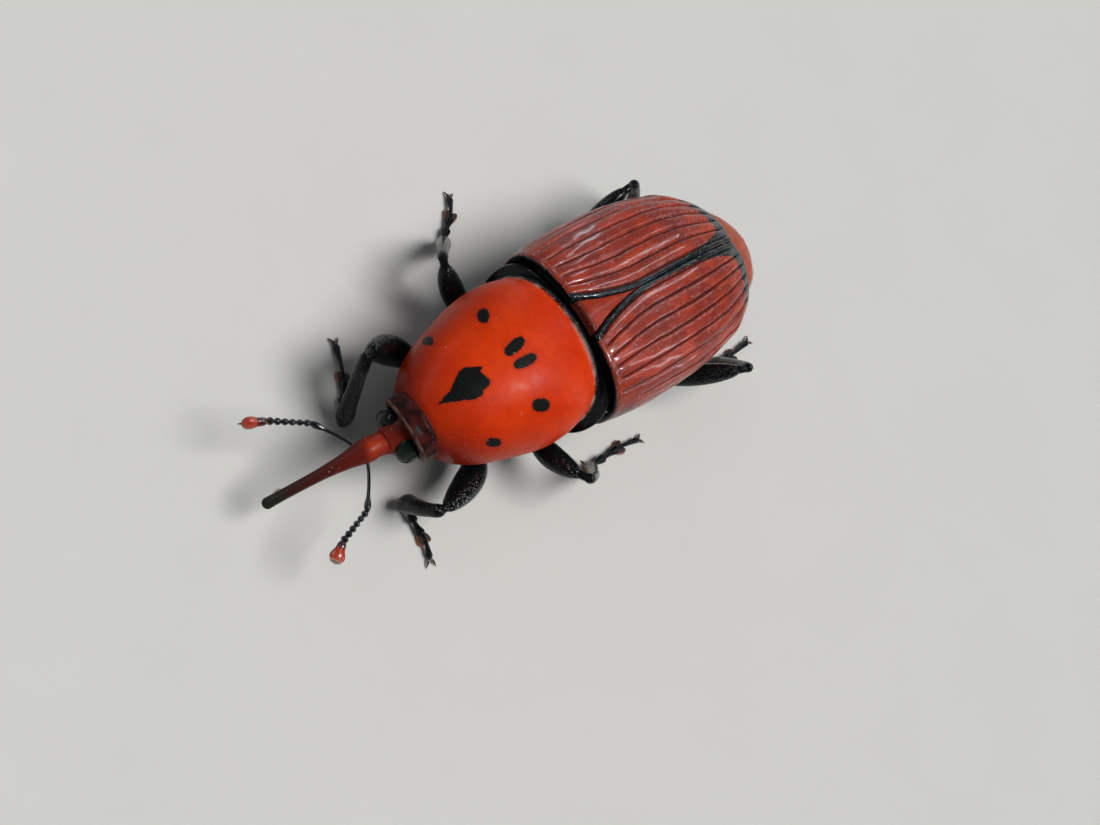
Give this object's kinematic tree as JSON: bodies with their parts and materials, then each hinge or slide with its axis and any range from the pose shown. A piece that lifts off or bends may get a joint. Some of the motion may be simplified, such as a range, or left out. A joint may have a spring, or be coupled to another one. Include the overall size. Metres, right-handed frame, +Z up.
{
  "type": "red palm weevil",
  "caption": "Life-size still model of a red palm weevil, standing, with a long curved snout, grooved wing cases and a spotted orange-red shield.",
  "frame": {"origin": "centre of the standing insect's bounding box, on the floor that its feet stand on", "axes": "+Z up, head towards -Y, the insect's left side towards +X; the long axis is Y"},
  "size_m": [0.0214, 0.0396, 0.0113],
  "materials": {
    "prothorax": "glossy orange-red cuticle with black spots",
    "head": "dark red cuticle",
    "eyes": "glossy black facets",
    "rostrum": "glossy orange-red to dark red cuticle",
    "antennae": "glossy black cuticle",
    "clubs": "orange-red with a finely furred end",
    "thorax_underside": "black cuticle",
    "abdomen": "black cuticle",
    "pygidium": "orange-red cuticle",
    "scutellum": "red cuticle",
    "elytra": "grooved brownish red cuticle with black margins",
    "coxae": "black cuticle",
    "femora": "glossy black cuticle",
    "tibiae": "glossy black cuticle",
    "tarsi": "black cuticle with orange-brown pads"
  },
  "bodies": {
    "root": {"prothorax": "prothorax", "head": "head", "eye_left": "eyes", "eye_right": "eyes", "rostrum": "rostrum", "antenna_left_scape": "antennae", "antenna_left_funicle": "antennae", "antenna_left_club": "clubs", "antenna_right_scape": "antennae", "antenna_right_funicle": "antennae", "antenna_right_club": "clubs", "mesothorax": "thorax_underside", "metathorax": "thorax_underside", "abdomen": "abdomen", "pygidium": "pygidium", "scutellum": "scutellum", "elytron_left": "elytra", "elytron_right": "elytra", "coxa_front_left": "coxae", "coxa_front_right": "coxae", "coxa_middle_left": "coxae", "coxa_middle_right": "coxae", "coxa_hind_left": "coxae", "coxa_hind_right": "coxae", "femur_front_left": "femora", "femur_front_right": "femora", "femur_middle_left": "femora", "femur_middle_right": "femora", "femur_hind_left": "femora", "femur_hind_right": "femora", "tibia_front_left": "tibiae", "tibia_front_right": "tibiae", "tibia_middle_left": "tibiae", "tibia_middle_right": "tibiae", "tibia_hind_left": "tibiae", "tibia_hind_right": "tibiae", "tarsus_front_left": "tarsi", "tarsus_front_right": "tarsi", "tarsus_middle_left": "tarsi", "tarsus_middle_right": "tarsi", "tarsus_hind_left": "tarsi", "tarsus_hind_right": "tarsi"}
  },
  "joints": []
}
